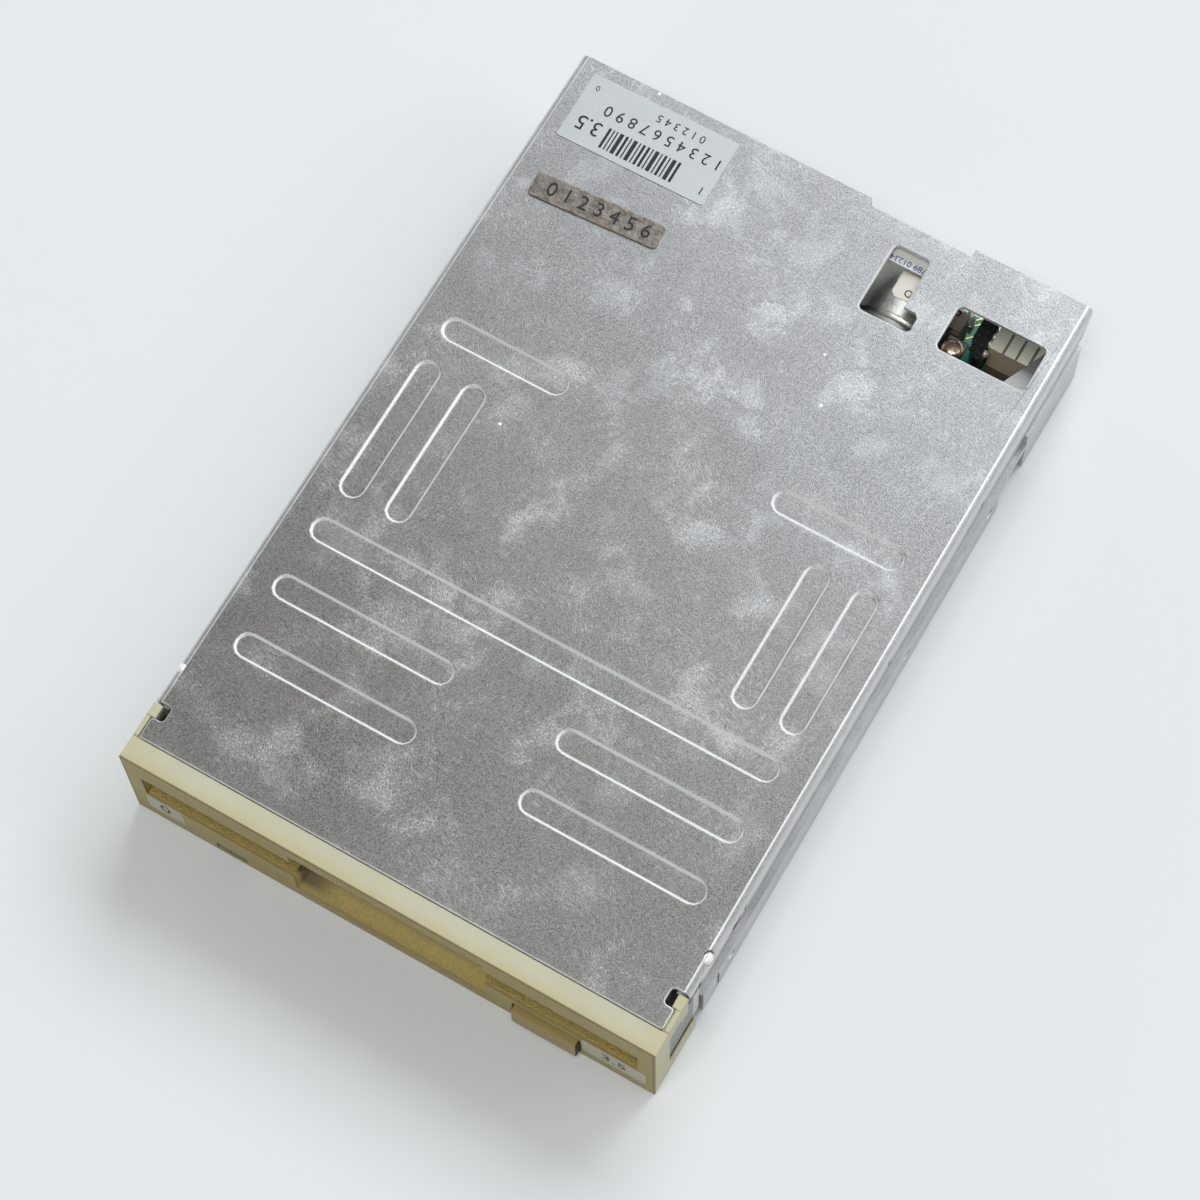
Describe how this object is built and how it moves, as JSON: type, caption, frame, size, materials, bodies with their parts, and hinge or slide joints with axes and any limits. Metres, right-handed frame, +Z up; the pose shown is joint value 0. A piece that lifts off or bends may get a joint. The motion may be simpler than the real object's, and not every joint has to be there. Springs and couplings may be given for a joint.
{
  "type": "floppy disk drive",
  "caption": "Slim 3.5 inch floppy disk drive with a pressed steel cover, cream bezel, dust door, eject button, disk carrier, spindle motor and head carriage.",
  "frame": {"origin": "middle of the base, under the whole drive with its eject button", "axes": "+X to the right seen from the front, +Y towards the rear connectors, +Z up"},
  "size_m": [0.1016, 0.153, 0.0258],
  "materials": {
    "zinc_sheet": "satin",
    "dark_steel": "satin",
    "bright_steel": "polished",
    "cream_plastic": "fine texture",
    "yellow_plastic": "satin",
    "lamp_plastic": "gloss",
    "black_plastic": "matte",
    "carriage_plastic": "matte",
    "ivory_plastic": "satin",
    "board_green": "satin",
    "magnet_grey": "matte",
    "copper_wire": "satin",
    "brass": "satin",
    "coppered_steel": "polished",
    "head_ceramic": "polished",
    "white_film": "satin",
    "label_paper": "satin",
    "serial_film": "satin"
  },
  "bodies": {
    "frame": {"top_cover": "zinc_sheet", "stepper_motor": "zinc_sheet", "chassis": "dark_steel", "stepper_bracket": "dark_steel", "rod_clamp_front": "dark_steel", "rod_clamp_rear": "dark_steel", "stator_core": "dark_steel", "eject_spring_left": "bright_steel", "eject_spring_right": "bright_steel", "guide_rod": "bright_steel", "door_spring": "bright_steel", "front_bezel": "cream_plastic", "activity_lamp": "lamp_plastic", "controller_chip": "black_plastic", "driver_chip": "black_plastic", "signal_connector": "black_plastic", "jumper_block": "black_plastic", "screw_bearing": "black_plastic", "track_sensor": "black_plastic", "write_protect_switch": "black_plastic", "disk_in_switch": "black_plastic", "power_connector": "ivory_plastic", "ribbon_socket": "ivory_plastic", "motor_board": "board_green", "main_board": "board_green", "stator_winding": "copper_wire", "spindle_bearing": "brass", "rod_screw_front": "brass", "rod_screw_rear": "brass", "bracket_screw": "coppered_steel", "ribbon_cable": "white_film", "paper_label": "label_paper", "bezel_sticker_left": "label_paper", "bezel_sticker_right": "label_paper", "serial_plate": "serial_film"},
    "slide": {"slide_plate": "bright_steel", "eject_button": "yellow_plastic"},
    "carrier": {"disk_carrier": "dark_steel", "carrier_pin_front_left": "bright_steel", "carrier_pin_front_right": "bright_steel", "carrier_pin_rear_left": "bright_steel", "carrier_pin_rear_right": "bright_steel", "shutter_rivet": "bright_steel", "shutter_spring": "dark_steel"},
    "shutter": {"shutter_lever": "bright_steel"},
    "door": {"dust_door": "cream_plastic"},
    "spindle": {"spindle_rotor": "bright_steel", "rotor_magnet": "magnet_grey", "spindle_shaft": "bright_steel", "hub_plate": "bright_steel", "drive_pin": "brass"},
    "carriage": {"head_carriage": "carriage_plastic", "lower_head": "head_ceramic", "arm_spring": "bright_steel"},
    "arm": {"head_arm": "bright_steel", "upper_head": "head_ceramic"},
    "screw": {"lead_screw": "bright_steel", "stepper_rotor": "magnet_grey"},
    "write_protect": {"write_protect_plunger": "ivory_plastic"},
    "disk_in": {"disk_in_plunger": "ivory_plastic"}
  },
  "joints": [
    {"name": "carrier_drop", "type": "slide", "parent": "frame", "child": "carrier", "axis": [0, 0, -1], "range_m": [-0.0004, 0.0023]},
    {"name": "eject_slide", "type": "slide", "parent": "frame", "child": "slide", "axis": [0, -1, 0], "range_m": [-0.0008, 0.0046]},
    {"name": "shutter_swing", "type": "hinge", "parent": "carrier", "child": "shutter", "pos_m": [-0.04, 0.01823, 0.0181], "axis": [0, 0, 1], "range_deg": [0, 81], "stiffness_Nm_per_rad": 0.002},
    {"name": "door_swing", "type": "hinge", "parent": "frame", "child": "door", "pos_m": [0, -0.07057, 0.02], "axis": [1, 0, 0], "range_deg": [0, 82], "stiffness_Nm_per_rad": 0.0005},
    {"name": "spindle_turn", "type": "hinge", "parent": "frame", "child": "spindle", "pos_m": [0, -0.02527, 0.009], "axis": [0, 0, 1], "continuous": true},
    {"name": "carriage_slide", "type": "slide", "parent": "frame", "child": "carriage", "axis": [0, -1, 0], "range_m": [0, 0.0148]},
    {"name": "screw_turn", "type": "hinge", "parent": "frame", "child": "screw", "pos_m": [0.021, 0.04473, 0.0132], "axis": [0, 1, 0], "range_deg": [-5, 1426]},
    {"name": "arm_lower", "type": "hinge", "parent": "carriage", "child": "arm", "pos_m": [0, 0.04822, 0.0178], "axis": [1, 0, 0], "range_deg": [-1.3, 6.9]},
    {"name": "write_protect_press", "type": "slide", "parent": "frame", "child": "write_protect", "axis": [0, 0, -1], "range_m": [0, 0.0012], "stiffness_N_per_m": 20},
    {"name": "disk_in_press", "type": "slide", "parent": "frame", "child": "disk_in", "axis": [0, 0, -1], "range_m": [0, 0.0012], "stiffness_N_per_m": 20}
  ],
  "couplings": [
    {"joint": "eject_slide", "follows": "carrier_drop", "ratio": 2},
    {"joint": "arm_lower", "follows": "carrier_drop", "rad_per_m": 51.6},
    {"joint": "screw_turn", "follows": "carriage_slide", "rad_per_m": 1675.5}
  ]
}
